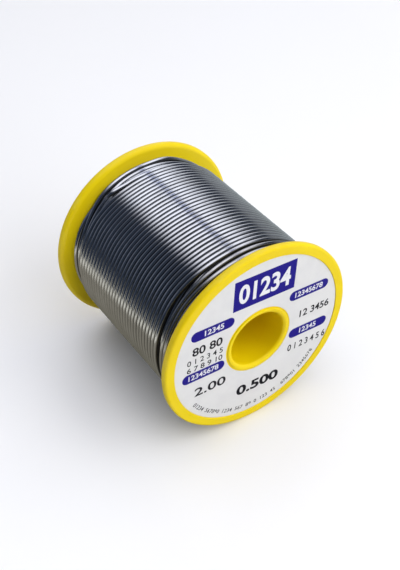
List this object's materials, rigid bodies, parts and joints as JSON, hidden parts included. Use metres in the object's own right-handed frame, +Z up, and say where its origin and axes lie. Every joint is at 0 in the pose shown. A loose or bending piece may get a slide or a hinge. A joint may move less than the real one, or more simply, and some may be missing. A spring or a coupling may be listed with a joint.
{
  "type": "solder wire spool",
  "caption": "Flanged plastic spool wound with solder wire, its turns laid side by side, with a round label on one face and a bore through the middle.",
  "frame": {"origin": "middle of the bore, on the spool's axis, half way between the two end faces", "axes": "+Z up, +Y along the bore from the labelled end to the plain end, +X to the right seen from the labelled end; the spool lies on the rims of its two flanges, as pictured"},
  "size_m": [0.08, 0.08, 0.08],
  "materials": {
    "yellow_plastic": "moulded, satin gloss",
    "label_film": "smooth coated paper",
    "solder": "bright drawn tin-lead wire"
  },
  "bodies": {
    "root": {"front_half_spool": "yellow_plastic", "rear_half_spool": "yellow_plastic", "front_label": "label_film", "solder_bottom_layer": "solder", "solder_middle_layer": "solder", "solder_top_layer": "solder"}
  },
  "joints": []
}
